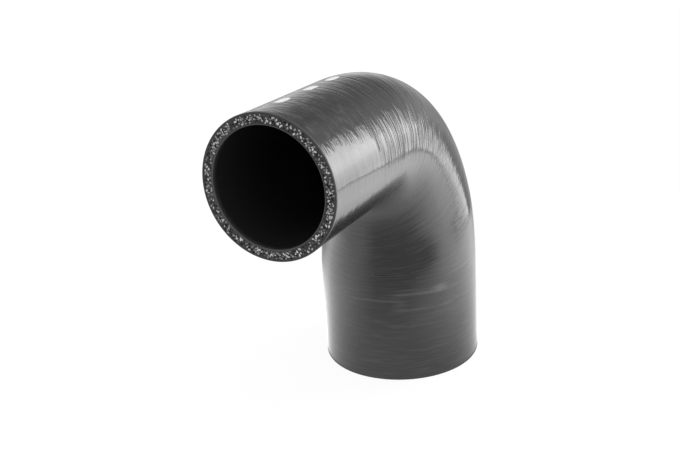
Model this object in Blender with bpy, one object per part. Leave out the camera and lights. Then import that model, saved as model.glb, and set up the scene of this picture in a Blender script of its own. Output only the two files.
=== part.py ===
"""Silicone reducer elbow hose: one moulded, fabric-reinforced tube bent through a right angle.

Metres, +Z up. The hose stands on its larger cut end, and its smaller end opens towards -Y. The origin is the
middle of the underside of its bounding box.
"""

import math

import bmesh
import bpy
from mathutils import Vector

# Bores and wall, as such a hose is sold by: the pipe that each end slides over, and the rubber round it.
LOWER_BORE = 0.070
UPPER_BORE = 0.051
WALL = 0.0052

# The route: a straight leg, a bend and a straight leg, at a right angle. The throat is the inside of the bend.
LOWER_LEG = 0.0820
UPPER_LEG = 0.0664
THROAT_RADIUS = 0.0120

# From side to side the hose begins to narrow this far below the bend, and it narrows most steeply at this share of
# the way from there to the upper leg.
NARROWING_LEAD = 0.0340
STEEPEST_SHARE = 0.3

# The knife-cut ends have a hair's breadth broken off their edges.
EDGE_BREAK = 0.0003

# Facets.
SIDES = 60
BEND_STEPS = 32

# The finish.
RUBBER_BLACK = (0.020, 0.020, 0.021, 1.0)
RUBBER_ROUGHNESS = 0.35

LOWER_OUTER_RADIUS = LOWER_BORE / 2 + WALL
UPPER_OUTER_RADIUS = UPPER_BORE / 2 + WALL
QUARTER_TURN = math.pi / 2

# The middle of the throat's arc, where the lower leg ends and the upper leg begins.
PIVOT = Vector((0.0, -LOWER_OUTER_RADIUS - THROAT_RADIUS, LOWER_LEG))


def guide_point(progress, reach, rise):
    """A point on the throat's line or the back's, from the pivot, this share of the way through the narrowing.

    Each line is straight up the lower leg and then a quarter of an ellipse, this far across from the pivot where it
    leaves the lower leg and this far up where it meets the upper one. It is followed without a jump in pace.
    """
    straight_share = NARROWING_LEAD / (NARROWING_LEAD + rise * QUARTER_TURN)
    if progress < straight_share:
        return Vector((0.0, reach, NARROWING_LEAD * (progress / straight_share - 1.0)))
    angle = QUARTER_TURN * (progress - straight_share) / (1.0 - straight_share)
    return Vector((0.0, reach * math.cos(angle), rise * math.sin(angle)))


def eased(progress):
    """How much of the narrowing is done: it starts gently, is soon steepest, and runs out slowly."""
    if progress < STEEPEST_SHARE:
        return progress ** 2 / STEEPEST_SHARE
    return 1.0 - (1.0 - progress) ** 2 / (1.0 - STEEPEST_SHARE)


def section(station, depth):
    """The middle of the section at a station, and half its size along the bend's plane and across it.

    The depth is how far under the outer skin it is drawn: nothing for the outside, the wall for the bore.
    """
    progress, along_leg = station
    throat_offset = THROAT_RADIUS + depth
    throat = guide_point(progress, throat_offset, throat_offset)
    back_reach = throat_offset + 2.0 * (LOWER_OUTER_RADIUS - depth)
    back_rise = throat_offset + 2.0 * (UPPER_OUTER_RADIUS - depth)
    back = guide_point(progress, back_reach, back_rise)
    narrowing = (LOWER_OUTER_RADIUS - UPPER_OUTER_RADIUS) * eased(progress)
    half_width = Vector((LOWER_OUTER_RADIUS - depth - narrowing, 0.0, 0.0))
    return PIVOT + (throat + back) / 2.0 + along_leg, (back - throat) / 2.0, half_width


def stations():
    """Where the hose's section is drawn: the share of the way through the narrowing, and the way along a leg."""
    below = LOWER_LEG - NARROWING_LEAD
    lower_leg = [(0.0, Vector((0.0, 0.0, -drop))) for drop in (below, below - EDGE_BREAK)]
    bend = [(step / BEND_STEPS, Vector()) for step in range(BEND_STEPS + 1)]
    upper_leg = [(1.0, Vector((0.0, -run, 0.0))) for run in (UPPER_LEG - EDGE_BREAK, UPPER_LEG)]
    return lower_leg + bend + upper_leg


def profile():
    """(station, depth) of every ring, up the bore, across the upper cut end, down the outside and back."""
    lower_cut, *between, upper_cut = stations()
    bore = [(station, WALL) for station in between]
    outside = [(station, 0.0) for station in reversed(between)]
    break_depths = (WALL - EDGE_BREAK, EDGE_BREAK)
    across_upper_cut = [(upper_cut, depth) for depth in break_depths]
    across_lower_cut = [(lower_cut, depth) for depth in reversed(break_depths)]
    return bore + across_upper_cut + outside + across_lower_cut


def add_ring(mesh, station, depth):
    """The vertices of one section."""
    centre, half_depth, half_width = section(station, depth)
    ring = []
    for side in range(SIDES):
        angle = 2 * math.pi * side / SIDES
        ring.append(mesh.verts.new(centre + half_width * math.cos(angle) + half_depth * math.sin(angle)))
    return ring


def join_rings(mesh, first, second):
    """A band of quads between two neighbouring rings."""
    for side in range(SIDES):
        following = (side + 1) % SIDES
        mesh.faces.new((first[side], second[side], second[following], first[following]))


def rubber():
    material = bpy.data.materials.new("black_silicone")
    material.use_nodes = True
    shader = material.node_tree.nodes["Principled BSDF"]
    shader.inputs["Base Color"].default_value = RUBBER_BLACK
    shader.inputs["Roughness"].default_value = RUBBER_ROUGHNESS
    shader.inputs["Metallic"].default_value = 0.0
    return material


def elbow_hose():
    """The hose's wall as one closed skin of rings, set so that the origin is under the middle of its box."""
    mesh = bmesh.new()
    rings = [add_ring(mesh, station, depth) for station, depth in profile()]
    for first, second in zip(rings, rings[1:] + rings[:1]):
        join_rings(mesh, first, second)
    bmesh.ops.recalc_face_normals(mesh, faces=mesh.faces)

    data = bpy.data.meshes.new("elbow_hose")
    mesh.to_mesh(data)
    mesh.free()
    data.materials.append(rubber())
    data.shade_smooth()
    data.set_sharp_from_angle(angle=math.radians(40))

    hose = bpy.data.objects.new("elbow_hose", data)
    bpy.context.scene.collection.objects.link(hose)
    nearest = min(vertex.co.y for vertex in data.vertices)
    furthest = max(vertex.co.y for vertex in data.vertices)
    hose.location.y = -(nearest + furthest) / 2
    return hose


for leftover in list(bpy.data.objects):
    bpy.data.objects.remove(leftover)

elbow_hose()
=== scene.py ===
"""The looks of the silicone reducer elbow hose, in metres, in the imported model's frame."""

import math

import bpy
from mathutils import Matrix, Vector


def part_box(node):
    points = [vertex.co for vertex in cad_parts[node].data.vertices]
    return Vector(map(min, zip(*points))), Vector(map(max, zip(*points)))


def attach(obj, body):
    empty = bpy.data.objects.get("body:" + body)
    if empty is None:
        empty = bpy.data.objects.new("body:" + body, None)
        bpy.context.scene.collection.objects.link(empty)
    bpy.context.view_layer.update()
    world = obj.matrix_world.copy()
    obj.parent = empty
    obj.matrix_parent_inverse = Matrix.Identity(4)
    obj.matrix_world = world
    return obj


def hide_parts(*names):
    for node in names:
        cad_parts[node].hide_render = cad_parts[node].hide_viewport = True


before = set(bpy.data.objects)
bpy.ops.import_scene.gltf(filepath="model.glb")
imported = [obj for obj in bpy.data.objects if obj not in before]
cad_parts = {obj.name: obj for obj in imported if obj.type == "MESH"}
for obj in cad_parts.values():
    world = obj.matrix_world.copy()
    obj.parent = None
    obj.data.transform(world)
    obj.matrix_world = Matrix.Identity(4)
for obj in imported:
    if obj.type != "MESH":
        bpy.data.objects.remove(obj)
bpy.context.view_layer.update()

# The hose's sizes
HOSE_LOW, HOSE_HIGH = (Vector(corner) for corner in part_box("elbow_hose"))
LOWER_RADIUS = (HOSE_HIGH.x - HOSE_LOW.x) / 2
UPPER_RADIUS = 0.0307
WALL = 0.0052
THROAT_RADIUS = 0.0120
LOWER_LEG = 0.0820
UPPER_LEG = 0.0664
NARROWING_LEAD = 0.0340
STEEPEST_SHARE = 0.3
LOWER_AXIS_Y = HOSE_HIGH.y - LOWER_RADIUS
PIVOT_Y = HOSE_LOW.y + UPPER_LEG
QUARTER_TURN = math.pi / 2

# Travel is counted in metres up the hose, from the lower cut end. The narrowing is given this much of it.
NARROWING_START = LOWER_LEG - NARROWING_LEAD
NARROWING_RUN = 0.130
NARROWING_END = NARROWING_START + NARROWING_RUN
UPPER_END = NARROWING_END + UPPER_LEG

SIZES = {
    "Lower radius": LOWER_RADIUS,
    "Upper radius": UPPER_RADIUS,
    "Wall": WALL,
    "Throat radius": THROAT_RADIUS,
    "Lower leg": LOWER_LEG,
    "Upper leg": UPPER_LEG,
    "Narrowing lead": NARROWING_LEAD,
    "Steepest share": STEEPEST_SHARE,
}


# Nodes

def socket_of(item):
    return item.socket if isinstance(item, Field) else item


def pick_input(node, key):
    """A node's input by its place, or by its name among the sockets that its settings leave in use."""
    if isinstance(key, int):
        return node.inputs[key]
    return next(socket for socket in node.inputs if socket.name == key and socket.enabled)


def add_node(tree, kind, settings=None, values=None):
    """A new node with its settings made first and then its inputs set or linked.

    Returns its first output in use, or the node itself where it has none.
    """
    node = tree.nodes.new(kind)
    for name, setting in (settings or {}).items():
        setattr(node, name, setting)
    for key, value in (values or {}).items():
        target = pick_input(node, key)
        value = socket_of(value)
        if isinstance(value, bpy.types.NodeSocket):
            tree.links.new(value, target)
        else:
            target.default_value = value
    outputs = [socket for socket in node.outputs if socket.enabled]
    return Field(outputs[0]) if outputs else node


class Field:
    """A node's output, ready for sums: each operation on it adds the Math node that does it."""

    def __init__(self, socket):
        self.socket = socket
        self.tree = socket.id_data

    def output(self, name):
        """Another output of the same node."""
        outputs = self.socket.node.outputs
        return Field(next(socket for socket in outputs if socket.name == name and socket.enabled))

    def math(self, operation, *others, clamp=False):
        return self.calculate(operation, (self, *others), clamp)

    def calculate(self, operation, operands, clamp=False):
        settings = {"operation": operation, "use_clamp": clamp}
        return add_node(self.tree, "ShaderNodeMath", settings, dict(enumerate(operands)))

    def __add__(self, other):
        return self.math("ADD", other)

    def __sub__(self, other):
        return self.math("SUBTRACT", other)

    def __mul__(self, other):
        return self.math("MULTIPLY", other)

    def __truediv__(self, other):
        return self.math("DIVIDE", other)

    def __neg__(self):
        return self.math("MULTIPLY", -1.0)

    __radd__ = __add__
    __rmul__ = __mul__

    def __rsub__(self, other):
        return self.calculate("SUBTRACT", (other, self))

    def __rtruediv__(self, other):
        return self.calculate("DIVIDE", (other, self))

    def clamped(self):
        return self.math("ADD", 0.0, clamp=True)

    def above(self, edge, softness):
        """0 below the edge, 1 above it, with a ramp of this width between."""
        return ((self - edge) / softness + 0.5).clamped()

    def below(self, edge, softness):
        """1 below the edge, 0 above it, with a ramp of this width between."""
        return 1.0 - self.above(edge, softness)

    def within(self, first, first_softness, last, last_softness):
        """1 between the two edges, 0 outside them, each with a ramp of its own width."""
        return self.above(first, first_softness) * self.below(last, last_softness)


def constant(tree, number):
    """A plain number as a field, for a function that works on fields."""
    field = add_node(tree, "ShaderNodeValue")
    field.socket.default_value = number
    return field


def vector(x, y, z):
    tree = next(part for part in (x, y, z) if isinstance(part, Field)).tree
    return add_node(tree, "ShaderNodeCombineXYZ", values={0: x, 1: y, 2: z})


def separated(place):
    """A vector as a field whose other outputs are X, Y and Z."""
    return add_node(place.tree, "ShaderNodeSeparateXYZ", values={0: place})


def noise(place, scale, detail=2.0, roughness=0.5):
    values = {"Vector": place, "Scale": scale, "Detail": detail, "Roughness": roughness}
    return add_node(place.tree, "ShaderNodeTexNoise", {"noise_dimensions": "3D"}, values)


def noise_round(across, upwards, travel, fineness_round, fineness_along, detail=1.0):
    """Noise laid on the hose without a seam, with one fineness round it and another along it."""
    place = vector(across * fineness_round, upwards * fineness_round, travel * fineness_along)
    return noise(place, 1.0, detail)


# The hose's shape, as fields of the geometry trees

def guide_line(size, progress, reach, rise):
    """How far across and up from the pivot the throat's line or the back's has come."""
    lead = size["Narrowing lead"]
    straight_share = lead / (lead + rise * QUARTER_TURN)
    climbed = (progress / straight_share).clamped()
    angle = ((progress - straight_share) / (1.0 - straight_share)).clamped() * QUARTER_TURN
    return reach * angle.math("COSINE"), lead * (climbed - 1.0) + rise * angle.math("SINE")


def eased(size, progress):
    """How much of the narrowing is done at this share of the way through it."""
    steepest = size["Steepest share"]
    starting = progress * progress / steepest
    ending = 1.0 - (1.0 - progress) * (1.0 - progress) / (1.0 - steepest)
    late = progress.math("GREATER_THAN", steepest)
    return starting + (ending - starting) * late


def hose_point(size, travel, angle, depth):
    """The place this far up the hose, this far round it from +X over its back, and this deep in its wall."""
    progress = ((travel - NARROWING_START) / NARROWING_RUN).clamped()
    throat_offset = size["Throat radius"] + depth
    throat_y, throat_z = guide_line(size, progress, throat_offset, throat_offset)
    back_reach = throat_offset + (size["Lower radius"] - depth) * 2.0
    back_rise = throat_offset + (size["Upper radius"] - depth) * 2.0
    back_y, back_z = guide_line(size, progress, back_reach, back_rise)
    narrowing = (size["Lower radius"] - size["Upper radius"]) * eased(size, progress)
    half_width = size["Lower radius"] - depth - narrowing
    along_y = (travel - NARROWING_END).math("MAXIMUM", 0.0)
    along_z = (NARROWING_START - travel).math("MAXIMUM", 0.0)
    half_turn = angle.math("SINE") * 0.5
    return vector(
        half_width * angle.math("COSINE"),
        (throat_y + back_y) * 0.5 + (back_y - throat_y) * half_turn + PIVOT_Y - along_y,
        (throat_z + back_z) * 0.5 + (back_z - throat_z) * half_turn + size["Lower leg"] - along_z,
    )


# Geometry trees

def start_tree(name):
    """An empty geometry tree with the hose's sizes as its named inputs."""
    tree = bpy.data.node_groups.new(name, "GeometryNodeTree")
    tree.interface.new_socket("Geometry", in_out="OUTPUT", socket_type="NodeSocketGeometry")
    for size_name in SIZES:
        tree.interface.new_socket(size_name, in_out="INPUT", socket_type="NodeSocketFloat")
    entry = add_node(tree, "NodeGroupInput")
    return tree, {size_name: entry.output(size_name) for size_name in SIZES}


def joined(tree, parts):
    join = add_node(tree, "GeometryNodeJoinGeometry")
    for part in parts:
        tree.links.new(part.socket, join.socket.node.inputs[0])
    return join


def grown(name, tree, geometry, material):
    """The tree's geometry as a smooth, plain mesh object with this material, its modifier gone."""
    smooth = add_node(tree, "GeometryNodeSetShadeSmooth", values={"Geometry": geometry})
    realised = add_node(tree, "GeometryNodeRealizeInstances", values={"Geometry": smooth})
    dressed = add_node(tree, "GeometryNodeSetMaterial", values={"Geometry": realised, "Material": material})
    add_node(tree, "NodeGroupOutput", values={0: dressed})

    seedling = bpy.data.objects.new(name + "_seedling", bpy.data.meshes.new(name + "_seedling"))
    bpy.context.scene.collection.objects.link(seedling)
    modifier = seedling.modifiers.new("Grow", "NODES")
    modifier.node_group = tree
    for item in tree.interface.items_tree:
        if item.in_out == "INPUT":
            modifier[item.identifier] = SIZES[item.name]
    graph = bpy.context.evaluated_depsgraph_get()
    mesh = bpy.data.meshes.new_from_object(seedling.evaluated_get(graph), depsgraph=graph)
    bpy.data.objects.remove(seedling)
    mesh.name = name
    piece = bpy.data.objects.new(name, mesh)
    bpy.context.scene.collection.objects.link(piece)
    return piece


def sheet_of(tree, rows, columns):
    """A unit grid, with its two coordinates from 0 to 1 as fields: along its rows and across its columns."""
    grid = add_node(tree, "GeometryNodeMeshGrid", values={0: 1.0, 1: 1.0, 2: rows, 3: columns})
    place = separated(add_node(tree, "GeometryNodeInputPosition"))
    return grid, place.output("X") + 0.5, place.output("Y") + 0.5


def with_fact(geometry, name, kind, domain, value):
    """The geometry with this value stored on it under a name that a material reads."""
    settings = {"data_type": kind, "domain": domain}
    values = {"Geometry": geometry, "Name": name, "Value": value}
    return add_node(geometry.tree, "GeometryNodeStoreNamedAttribute", settings, values)


def moved(geometry, place):
    values = {"Geometry": geometry, "Position": place}
    return add_node(geometry.tree, "GeometryNodeSetPosition", values=values)


# The skin: facets round the hose, and rows of vertices along each of its sheets
AROUND = 200
SKIN_ROWS = 220
BORE_ROWS = 96
CUT_ROWS = 25

# The moulded skin lies below the CAD's by up to these two together, and by less within this reach of a cut end.
HOLLOW_DEPTH = 0.00022
RIPPLE_DEPTH = 0.00008
END_FADE = 0.008

# A cut end's edges are rounded, and the rubber between them stands a little back. A painted highlight on the
# edges covers a narrow band of the cut. The skin's sheets are merged where they meet within the seam's width.
EDGE_ROUND = 0.00035
CUT_RECESS = 0.00010
RECESS_SLOPE = 0.0005
EDGE_HIGHLIGHT_BAND = 0.00030
EDGE_HIGHLIGHT_SOFTNESS = 0.00020
SEAM_WIDTH = 0.000012


def skin_depth(travel, angle):
    """How far the moulded skin lies below the CAD's: slow hollows all over, and low ripples round it."""
    across = angle.math("COSINE")
    upwards = angle.math("SINE")
    hollows = noise_round(across, upwards, travel, 1.7, 42.0)
    ripples = noise_round(across, upwards, travel, 1.2, 260.0)
    return hollows * HOLLOW_DEPTH + ripples * RIPPLE_DEPTH


def hose_skin(material):
    """The whole hose as one closed skin: outside, both cut ends with their edges rounded over, and bore."""
    tree, size = start_tree("hose_skin")
    first = EDGE_ROUND
    last = UPPER_END - EDGE_ROUND

    def from_edge(depth):
        """How far this depth in the wall is from the nearer edge of the cut."""
        return depth.math("MINIMUM", size["Wall"] - depth)

    def edge_drop(depth):
        """How far a cut end stands back at this depth in the wall."""
        shortfall = EDGE_ROUND - from_edge(depth).math("MINIMUM", EDGE_ROUND)
        rounding = EDGE_ROUND - (EDGE_ROUND ** 2 - shortfall * shortfall).math("MAXIMUM", 0.0).math("SQRT")
        return rounding + from_edge(depth).above(2 * EDGE_ROUND, RECESS_SLOPE) * CUT_RECESS

    def crowded_depth(along):
        """Rows crowd towards both edges of a cut, where they are rounded."""
        return (1.0 - (along * math.pi).math("COSINE")) * 0.5 * size["Wall"]

    def outside(along, angle):
        travel = along * (last - first) + first
        clear_of_lower_end = (travel - first).above(END_FADE / 2, END_FADE)
        clear_of_upper_end = (last - travel).above(END_FADE / 2, END_FADE)
        return travel, skin_depth(travel, angle) * (clear_of_lower_end * clear_of_upper_end)

    def bore(along, angle):
        return along * (last - first) + first, size["Wall"]

    def upper_cut(along, angle):
        depth = crowded_depth(along)
        return UPPER_END - edge_drop(depth), depth

    def lower_cut(along, angle):
        depth = crowded_depth(along)
        return edge_drop(depth), depth

    def sheet(rows, course, is_cut, facing_out):
        """One sheet of the skin, whose course gives how far up the hose and how deep in its wall it runs."""
        grid, along, around = sheet_of(tree, rows, AROUND + 1)
        angle = around * (2 * math.pi)
        travel, depth = course(along, angle)
        cut_face = from_edge(depth).above(EDGE_HIGHLIGHT_BAND, EDGE_HIGHLIGHT_SOFTNESS) * is_cut
        grid = with_fact(grid, "UVMap", "FLOAT2", "CORNER", vector(around, travel, 0.0))
        grid = with_fact(grid, "into_wall", "FLOAT", "POINT", depth / size["Wall"])
        grid = with_fact(grid, "cut_face", "FLOAT", "POINT", cut_face)
        # The band along the cut's rounded edges, where a painted highlight goes.
        grid = with_fact(grid, "cut_edge_highlight", "FLOAT", "POINT", is_cut - cut_face)
        laid = moved(grid, hose_point(size, travel, angle, depth))
        return laid if facing_out else add_node(tree, "GeometryNodeFlipFaces", values={0: laid})

    sheets = [
        sheet(SKIN_ROWS, outside, is_cut=0.0, facing_out=True),
        sheet(BORE_ROWS, bore, is_cut=0.0, facing_out=False),
        sheet(CUT_ROWS, upper_cut, is_cut=1.0, facing_out=True),
        sheet(CUT_ROWS, lower_cut, is_cut=1.0, facing_out=False),
    ]
    values = {"Geometry": joined(tree, sheets), "Distance": SEAM_WIDTH}
    return grown("hose_skin", tree, add_node(tree, "GeometryNodeMergeByDistance", values=values), material)


# Yarn ends: the reinforcing fabric is cut through with the wall, one ring of ends for each ply. Each end is a
# flat blob, whose middle is sunk a little into the cut.
PLY_DEPTHS = (0.0017, 0.0027, 0.0037)
YARN_PITCH = 0.0022
YARN_LENGTH = 0.00125
YARN_WIDTH = 0.00070
YARN_CROWN = 0.00020
YARN_SINK = 0.00001

# The ends lie in turn on the two sides of their ply. They are scattered across it in metres, stray along it by
# a share of a step, slant by so many radians and differ in size.
YARN_STAGGER = 0.00028
YARN_SCATTER = 0.00018
YARN_STRAY = 0.35
YARN_SLANT = (0.1, 1.3)
YARN_GROWTH = (0.55, 1.25)


def turned(tree, euler):
    return add_node(tree, "FunctionNodeEulerToRotation", values={0: euler})


def yarn_ring(tree, size, ply, at_upper_end):
    """The yarn ends of one ply in a cut face, each with a shade of its own."""
    ply_depth = PLY_DEPTHS[ply]
    ring_radius = (UPPER_RADIUS if at_upper_end else LOWER_RADIUS) - ply_depth
    count = 2 * round(2 * math.pi * ring_radius / YARN_PITCH)
    index = add_node(tree, "GeometryNodeInputIndex")

    def random(low, high, seed):
        values = {"Min": low, "Max": high, "ID": index, "Seed": 10 * ply + seed}
        return add_node(tree, "FunctionNodeRandomValue", {"data_type": "FLOAT"}, values)

    side = index.math("MODULO", 2.0) * 2.0 - 1.0
    angle = (index + random(-YARN_STRAY, YARN_STRAY, 1)) * (2 * math.pi / count)
    depth = ply_depth + side * YARN_STAGGER + random(-YARN_SCATTER, YARN_SCATTER, 2)
    slant = random(*YARN_SLANT, 3) * side
    growth = random(*YARN_GROWTH, 4)
    if at_upper_end:
        travel = constant(tree, UPPER_END - CUT_RECESS - YARN_SINK)
        upright = turned(tree, (QUARTER_TURN, 0.0, 0.0))
        spun = turned(tree, vector(0.0, 0.0, -angle + QUARTER_TURN + slant))
        settings = {"rotation_space": "LOCAL"}
        rotation = add_node(tree, "FunctionNodeRotateRotation", settings, {0: upright, 1: spun})
    else:
        travel = constant(tree, CUT_RECESS + YARN_SINK)
        rotation = turned(tree, vector(0.0, 0.0, angle + QUARTER_TURN + slant))

    points = add_node(tree, "GeometryNodePoints", values={"Count": count})
    placed = moved(points, hose_point(size, travel, angle, depth))
    blob = add_node(tree, "GeometryNodeMeshUVSphere", values={"Segments": 8, "Rings": 5, "Radius": 0.5})
    scale = vector(growth * YARN_LENGTH, growth * YARN_WIDTH, YARN_CROWN)
    values = {"Points": placed, "Instance": blob, "Rotation": rotation, "Scale": scale}
    ends = add_node(tree, "GeometryNodeInstanceOnPoints", values=values)
    return with_fact(ends, "yarn_shade", "FLOAT", "INSTANCE", random(0.0, 1.0, 5))


def yarn_ends(name, material, at_upper_end):
    tree, size = start_tree(name)
    rings = [yarn_ring(tree, size, ply, at_upper_end) for ply in range(len(PLY_DEPTHS))]
    return grown(name, tree, joined(tree, rings), material)


# Printed dashes along the upper leg: how far up the leg the middle of each is, and their size. Their row lies
# a few hundredths of a radian past the top, towards -X.
DASH_MIDDLES = (0.0462, 0.0232, 0.0036)
DASH_LENGTH = 0.0088
DASH_WIDTH = 0.0044
DASH_TIP_SHARE = 0.2
DASH_PAST_TOP = 0.07
DASH_ROWS = 33
DASH_COLUMNS = 13
INK_THICKNESS = 0.00003


def printed_dash(tree, size, middle):
    """One dash with round ends. Their tips keep a share of its width, so that no facet shrinks to nothing."""
    grid, along, across = sheet_of(tree, DASH_ROWS, DASH_COLUMNS)
    lengthways = along * 2.0 - 1.0
    straight = 1.0 - DASH_WIDTH / DASH_LENGTH
    past_straight = ((lengthways.math("ABSOLUTE") - straight) / (1.0 - straight)).clamped()
    width_share = (1.0 - past_straight * past_straight * (1.0 - DASH_TIP_SHARE ** 2)).math("SQRT")
    travel = lengthways * (DASH_LENGTH / 2) + (NARROWING_END + middle)
    angle = (across - 0.5) * width_share * (DASH_WIDTH / UPPER_RADIUS) + (QUARTER_TURN + DASH_PAST_TOP)
    depth = skin_depth(travel, angle) - INK_THICKNESS
    grid = with_fact(grid, "UVMap", "FLOAT2", "CORNER", vector(along, across, 0.0))
    return moved(grid, hose_point(size, travel, angle, depth))


def printed_dashes(material):
    tree, size = start_tree("printed_dashes")
    dashes = [printed_dash(tree, size, middle) for middle in DASH_MIDDLES]
    return grown("printed_dashes", tree, joined(tree, dashes), material)


# Materials

def start_material(name, ior):
    """A material with its tree and its shader, which has this index of refraction."""
    material = bpy.data.materials.new(name)
    material.use_nodes = True
    tree = material.node_tree
    shader = tree.nodes["Principled BSDF"]
    shader.inputs["IOR"].default_value = ior
    return material, tree, shader


def fact(tree, name):
    """A value that a geometry tree stored on the piece under this name."""
    return add_node(tree, "ShaderNodeAttribute", {"attribute_name": name}).output("Fac")


def bumped(height, distance):
    values = {"Height": height, "Distance": distance, "Strength": 1.0}
    return add_node(height.tree, "ShaderNodeBump", values=values)


def mixed_colour(factor, first, second):
    values = {0: factor, 6: first, 7: second}
    return add_node(factor.tree, "ShaderNodeMix", {"data_type": "RGBA"}, values).output("Result")


def connect(shader, **links):
    for socket_name, field in links.items():
        shader.id_data.links.new(field.socket, shader.inputs[socket_name.replace("_", " ")])


# Rubber's shades
DULL_BLACK = (0.016, 0.016, 0.0165, 1.0)
# Painted shade in the darkened creases, and the darker tone of the wrap lines and mottle.
DARK_TONE_AND_CREASE_SHADE = (0.003, 0.003, 0.0032, 1.0)
# Pale grey for the rubber's own scuffs and wrap tone, and for the painted sheen in the throat.
SCUFF_AND_SHEEN_GREY = (0.10, 0.10, 0.102, 1.0)
CUT_BLACK = (0.010, 0.010, 0.0105, 1.0)
# Painted highlight on the rounded edges of the cut ends.
EDGE_HIGHLIGHT_GREY = (0.070, 0.070, 0.072, 1.0)
RELIEF = 0.00008

# Stretches in metres up the hose: where each begins, how softly, where it ends, how softly
BEND = (0.142, 0.050, 0.202, 0.010)
BELOW_BEND = (0.095, 0.020, 0.150, 0.030)
THROAT = (0.128, 0.030, 0.180, 0.030)
UPPER_LEG_START = (0.206, 0.008)

# Creases that the wrap left: degrees round the hose from and to, metres up the hose, half their width, their
# rise, and how far they are scuffed pale, or, where this is below nothing, darkened with painted shade. Their
# two ends fade over a few degrees.
CREASES = (
    (281, 296, 0.0709, 0.0010, -0.7, -0.8),
    (276, 300, 0.0682, 0.0012, -1.2, -1.4),
    (276, 299, 0.0656, 0.0010, -0.7, -1.0),
    (282, 304, 0.0614, 0.0011, -0.7, -1.0),
    (336, 358, 0.0573, 0.0012, 0.3, 0.3),
    (294, 306, 0.0494, 0.0013, 0.1, 0.22),
    (319, 329, 0.0485, 0.0036, 0.2, 0.75),
    (291, 328, 0.0463, 0.0013, 0.2, 0.50),
    (258, 291, 0.0429, 0.0011, 0.2, 0.30),
    (290, 297, 0.0405, 0.0070, 0.1, 0.28),
    (292, 334, 0.0380, 0.0010, 0.2, 0.36),
    (288, 293, 0.0288, 0.0013, 0.2, 0.25),
    (276, 281, 0.0246, 0.0016, 0.2, 0.28),
    (12, 50, 0.2042, 0.0011, -2.2, -0.5),
)
CREASE_END = 7.0


class HosePlaces:
    """Where on the hose a point of its skin is, and how far it belongs to each stretch, from 0 to 1."""

    def __init__(self, tree):
        flat = separated(add_node(tree, "ShaderNodeUVMap", {"uv_map": "UVMap"}))
        angle = flat.output("X") * (2 * math.pi)
        self.degrees = flat.output("X") * 360.0
        self.travel = flat.output("Y")
        self.across = angle.math("COSINE")
        self.upwards = angle.math("SINE")
        self.into_wall = fact(tree, "into_wall")
        self.bore = self.into_wall.above(0.97, 0.02)
        self.outside = self.into_wall.below(0.09, 0.04)
        outer_side = self.upwards.above(-0.16, 0.20)
        self.bend = self.travel.within(*BEND)
        self.outer_bend = self.bend * outer_side
        self.below_bend = self.travel.within(*BELOW_BEND) * outer_side
        self.on_top = self.upwards.above(0.55, 0.30) * self.travel.above(*UPPER_LEG_START)
        self.throat = (-self.upwards).above(0.60, 0.40) * self.travel.within(*THROAT) * self.outside

    def noise(self, fineness_round, fineness_along, detail=1.0):
        return noise_round(self.across, self.upwards, self.travel, fineness_round, fineness_along, detail)


def creased(at, height, scuffs_and_painted_light, mottle):
    """The height and the scuffs with every crease added, dark ones as painted shade: each fades across its
    width and at its two ends.
    """
    for first, last, place, half_width, rise, paleness in CREASES:
        offset = (at.travel - place) / half_width
        line = (1.0 - offset * offset).math("MAXIMUM", 0.0)
        line = line * line * at.degrees.within(first, CREASE_END, last, CREASE_END)
        height = height + line * rise
        scuffs_and_painted_light = scuffs_and_painted_light + line * (0.6 + mottle * 0.8) * paleness
    return height, scuffs_and_painted_light


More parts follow.
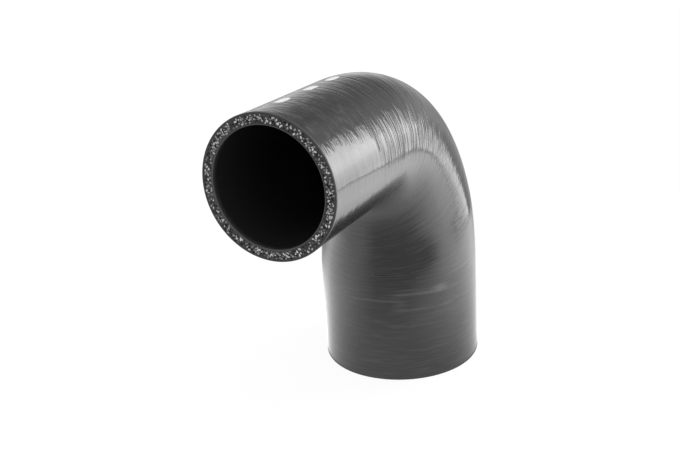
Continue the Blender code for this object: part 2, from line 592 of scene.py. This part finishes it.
def black_silicone():
    """Black rubber with the marks of the wrap it was cured in, duller in its throat, bore and cuts."""
    material, tree, shader = start_material("black_silicone", 1.45)
    at = HosePlaces(tree)
    cut = fact(tree, "cut_face")
    edge = fact(tree, "cut_edge_highlight")

    # Wrap lines run round the hose: fine along it and long around it.
    rings = at.noise(0.6, 520.0)
    fine_lines = at.noise(3.4, 900.0)
    mottle = at.noise(7.0, 320.0, 2.0)
    grain = at.noise(60.0, 2000.0, 2.0)
    grooves = (1.0 - (rings - 0.5).math("ABSOLUTE") / 0.035).clamped()
    height = rings * (0.42 + at.outer_bend * 3.6 - at.on_top * 0.22) - grooves * at.outer_bend * 0.75
    height = height + fine_lines * (0.45 + at.bend * 0.4 + at.on_top * 1.4 + at.below_bend * 1.1)
    height = height + mottle * (0.40 + at.on_top * 2.3 + at.below_bend * 0.5)
    wrap_scuffs = ((fine_lines - 0.5) * 0.75 + (rings - 0.5) * 0.35) * (1.0 - at.bend)
    # Painted sheen: the throat's colour is made paler where it shows a brighter sheen.
    scuffs_and_painted_light = wrap_scuffs + (mottle - 0.5) * at.on_top * 1.5 + at.throat * 0.45
    height, scuffs_and_painted_light = creased(at, height, scuffs_and_painted_light, mottle)

    # The knife leaves the cut ends torn, and a fine grain is everywhere.
    torn = noise(vector(at.across * 25.0, at.upwards * 25.0, at.into_wall * 6.0), 3.0, 3.0, 0.6)
    height = height * at.outside + grain * 0.05 + torn * cut * 1.5

    roughness = 0.12 + (mottle - 0.5) * 0.10 + (fine_lines - 0.5) * 0.05 + at.throat * 0.34
    roughness = roughness + (cut + edge) * 0.45 + at.bore * 0.20
    # Below nothing the colour darkens: painted shade in the darkened creases, and darker wrap and mottle tone.
    darkened = mixed_colour((scuffs_and_painted_light * at.outside * -1.0).clamped(), DULL_BLACK, DARK_TONE_AND_CREASE_SHADE)
    # Above nothing the colour pales: the rubber's own scuffs and wrap tone, and painted sheen in the throat.
    scuffed_and_sheened = mixed_colour((scuffs_and_painted_light * at.outside).clamped(), darkened, SCUFF_AND_SHEEN_GREY)
    # The rounded cut edges are painted pale grey: a painted highlight.
    colour = mixed_colour(edge, mixed_colour(cut, scuffed_and_sheened, CUT_BLACK), EDGE_HIGHLIGHT_GREY)
    connect(shader, Base_Color=colour, Roughness=roughness.clamped(), Normal=bumped(height, RELIEF))
    return material


YARN_DARK = (0.010, 0.010, 0.010, 1.0)
YARN_PALE = (0.60, 0.60, 0.59, 1.0)
YARN_FUZZ = 0.00008


def pale_yarn():
    """Cut yarn, some of it still black with rubber."""
    material, tree, shader = start_material("pale_yarn", 1.2)
    fuzz = noise(add_node(tree, "ShaderNodeTexCoord").output("Object"), 3500.0)
    bareness = (fact(tree, "yarn_shade") * 1.5 + fuzz * 0.6 - 0.69).clamped()
    colour = mixed_colour(bareness, YARN_DARK, YARN_PALE)
    connect(shader, Base_Color=colour, Roughness=0.75 + fuzz * 0.15, Normal=bumped(fuzz, YARN_FUZZ))
    return material


INK_THIN = (0.50, 0.50, 0.50, 1.0)
INK_FULL = (0.92, 0.92, 0.91, 1.0)
INK_RELIEF = 0.00002


def white_ink():
    """White print, a little thin in spots."""
    material, tree, shader = start_material("white_ink", 1.45)
    wear = noise(add_node(tree, "ShaderNodeTexCoord").output("Object"), 900.0, 3.0, 0.6)
    colour = mixed_colour(wear.above(0.36, 0.10), INK_THIN, INK_FULL)
    connect(shader, Base_Color=colour, Roughness=0.35 + wear * 0.2, Normal=bumped(wear, INK_RELIEF))
    return material


# The pieces

silicone = black_silicone()
yarn = pale_yarn()
ink = white_ink()

skin = hose_skin(silicone)
upper_yarn = yarn_ends("upper_yarn_ends", yarn, True)
lower_yarn = yarn_ends("lower_yarn_ends", yarn, False)
dashes = printed_dashes(ink)

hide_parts("elbow_hose")
for piece in (skin, upper_yarn, lower_yarn, dashes):
    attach(piece, "root")


# The floor, the light and the camera

WHITE = (1.0, 1.0, 1.0, 1.0)
FLOOR_GREY = (0.85, 0.85, 0.85, 1.0)
FLOOR_REACH = 3.0

# To the camera the floor is this white by itself, for so large a share of it. The rest is lit and takes the
# hose's shadow.
FLOOR_WHITENESS = 1.04
FLOOR_OWN_SHARE = 0.88

# Right round the foot the floor's mirror image holds a painted shadow out to here, and then is as bright as the
# rest.
FOOT_SHADOW_REACH = 0.0008
FOOT_SHADOW_SOFTNESS = 0.0016
FOOT_SHADOW_GLOW = 0.2


def in_mirrors(path):
    """1 for a ray that a glossy or a clear surface sent, 0 for any other."""
    return path.output("Is Glossy Ray").math("MAXIMUM", path.output("Is Transmission Ray"))


def floor_glow(x, y):
    """How bright the floor's mirror image in the hose is at this place on the floor."""
    before_softbox = x.above(0.070, 0.06) * 1.15 * y.above(-0.03, 0.12)
    far_right = x.above(0.15, 0.12) * 1.6 * y.above(0.02, 0.20)
    right_glow = (before_softbox + far_right) * y.below(0.328, 0.04)
    left_side = (-x).above(0.055, 0.08) * 0.80 + (-x).above(0.050, 0.20) * 0.40
    left_glow = left_side * (1.0 - y.above(0.075, 0.07) * 0.95)
    back_left = (-x).above(0.05, 0.1) * y.above(0.08, 0.08)
    middle_glow = y.within(-0.085, 0.09, 0.26, 0.18) * (1.0 - back_left * 0.8)
    far_left = (-x).above(0.045, 0.07) * y.above(0.085, 0.06)
    far_back = y.above(0.26, 0.16)
    glow = 0.80 + middle_glow * 0.60 + right_glow + left_glow - far_left * 0.25 - far_back * 0.15
    behind_axis = y - LOWER_AXIS_Y
    from_axis = (x * x + behind_axis * behind_axis).math("SQRT")
    # A painted shadow round the foot, in the floor's mirror image only.
    clear_of_foot_shadow = from_axis.above(LOWER_RADIUS + FOOT_SHADOW_REACH, FOOT_SHADOW_SOFTNESS)
    return glow * (FOOT_SHADOW_GLOW + clear_of_foot_shadow * (1.0 - FOOT_SHADOW_GLOW))


def pale_floor():
    """The floor is white to the camera apart from the hose's shadow, and glows in mirror images."""
    material = bpy.data.materials.new("pale_floor")
    material.use_nodes = True
    tree = material.node_tree
    tree.nodes.clear()
    place = separated(add_node(tree, "ShaderNodeTexCoord").output("Object"))
    path = add_node(tree, "ShaderNodeLightPath")
    mirror = in_mirrors(path)
    glow = floor_glow(place.output("X"), place.output("Y"))
    strength = FLOOR_WHITENESS + (glow - FLOOR_WHITENESS) * mirror
    own_share = (path.output("Is Camera Ray") * FLOOR_OWN_SHARE).math("MAXIMUM", mirror)
    plain = add_node(tree, "ShaderNodeBsdfDiffuse", values={"Color": FLOOR_GREY})
    white = add_node(tree, "ShaderNodeEmission", values={"Color": WHITE, "Strength": strength})
    surface = add_node(tree, "ShaderNodeMixShader", values={0: own_share, 1: plain, 2: white})
    add_node(tree, "ShaderNodeOutputMaterial", values={"Surface": surface})

    mesh = bpy.data.meshes.new("floor")
    corners = [(FLOOR_REACH * x, FLOOR_REACH * y, 0.0) for x, y in ((-1, -1), (1, -1), (1, 1), (-1, 1))]
    mesh.from_pydata(corners, [], [(0, 1, 2, 3)])
    mesh.materials.append(material)
    floor = bpy.data.objects.new("floor", mesh)
    bpy.context.scene.collection.objects.link(floor)


ROOM_LEVEL = 0.90


def white_room():
    """A world that is white to the camera, plain in its light, and uneven in mirror images."""
    world = bpy.data.worlds.new("white_room")
    bpy.context.scene.world = world
    world.use_nodes = True
    tree = world.node_tree
    tree.nodes.clear()
    direction = separated(add_node(tree, "ShaderNodeTexCoord").output("Generated"))
    x, z = direction.output("X"), direction.output("Z")
    from_right = 0.46 + x.above(0.16, 0.32) * 0.72
    from_above = 0.78 + z.above(0.47, 0.24) * 0.40
    low_down = z.below(0.25, 0.25) * 0.40
    far_left = (-x).above(0.36, 0.14) * 0.30
    reflected = from_right * from_above + low_down + far_left
    path = add_node(tree, "ShaderNodeLightPath")
    mirror = in_mirrors(path)
    camera_sees = path.output("Is Camera Ray")
    strength = camera_sees + (1.0 - camera_sees) * (mirror * reflected + (1.0 - mirror) * ROOM_LEVEL)
    light = add_node(tree, "ShaderNodeBackground", values={"Color": WHITE, "Strength": strength})
    add_node(tree, "ShaderNodeOutputWorld", values={"Surface": light})


def softbox_glow(tree):
    """Dimmer low down, and with the edge that stands over the foot's near corner drawn in at mid-height."""
    place = separated(add_node(tree, "ShaderNodeNewGeometry").output("Parametric"))
    from_corner = 1.0 - place.output("X")
    upwards = place.output("Y")
    waist = (1.0 - (upwards - 0.5).math("ABSOLUTE") / 0.28).clamped()
    return (0.66 + upwards.above(0.30, 0.30) * 0.50) * from_corner.above(waist * 0.055, 0.02)


def softbox(name, foot, facing, width, height, lean, radiance):
    """A light that stands on the floor: the near corner of its foot, the way it faces from +X and its lean.

    Both are in degrees. The foot runs to the left of one who looks the way the light does, and the lean tips
    it that way too.
    """
    turn = math.radians(facing)
    forwards = Vector((math.cos(turn), math.sin(turn), 0.0))
    tipping = Matrix.Rotation(-math.radians(lean), 3, forwards)
    upright = tipping @ Vector((0.0, 0.0, 1.0))
    sideways = tipping @ Vector((-forwards.y, forwards.x, 0.0))

    light = bpy.data.lights.new(name, "AREA")
    light.shape = "RECTANGLE"
    light.size = width
    light.size_y = height
    light.energy = radiance * math.pi * width * height
    light.use_nodes = True
    tree = light.node_tree
    tree.nodes.clear()
    glow = add_node(tree, "ShaderNodeEmission", values={"Color": WHITE, "Strength": softbox_glow(tree)})
    add_node(tree, "ShaderNodeOutputLight", values={"Surface": glow})

    lamp = bpy.data.objects.new(name, light)
    lamp.rotation_euler = Matrix((-sideways, upright, -forwards)).transposed().to_euler()
    lamp.location = Vector((*foot, 0.0)) + sideways * (width / 2) + upright * (height / 2)
    lamp.visible_camera = False
    bpy.context.scene.collection.objects.link(lamp)


# The camera, as fitted to the hose's outline. Its azimuth is from -Y, and its angles are in degrees.
CAMERA_PLACE = (0.190370, -0.370782, 0.234065)
CAMERA_AZIMUTH = 28.640
CAMERA_ELEVATION = 20.121
CAMERA_ROLL = -3.735
CAMERA_LENS = 49.371


def camera():
    azimuth = math.radians(CAMERA_AZIMUTH)
    elevation = math.radians(CAMERA_ELEVATION)
    outwards = Vector((math.sin(azimuth), -math.cos(azimuth), 0.0)) * math.cos(elevation)
    back = outwards + Vector((0.0, 0.0, math.sin(elevation)))
    right = Vector((math.cos(azimuth), math.sin(azimuth), 0.0))
    level = Matrix((right, back.cross(right), back)).transposed().to_4x4()
    data = bpy.data.cameras.new("camera")
    data.lens = CAMERA_LENS
    data.sensor_width = 36.0
    data.clip_start = 0.01
    eye = bpy.data.objects.new("camera", data)
    roll = Matrix.Rotation(math.radians(CAMERA_ROLL), 4, "Z")
    eye.matrix_world = Matrix.Translation(CAMERA_PLACE) @ level @ roll
    bpy.context.scene.collection.objects.link(eye)
    bpy.context.scene.camera = eye


pale_floor()
white_room()
softbox("right_softbox", foot=(0.150, 0.35), facing=-90.0, width=0.40, height=0.42, lean=13.0, radiance=5.6)
softbox("left_softbox", foot=(-0.60, 0.20), facing=0.0, width=0.50, height=0.45, lean=0.0, radiance=1.2)
camera()
bpy.context.scene.view_settings.view_transform = "Standard"
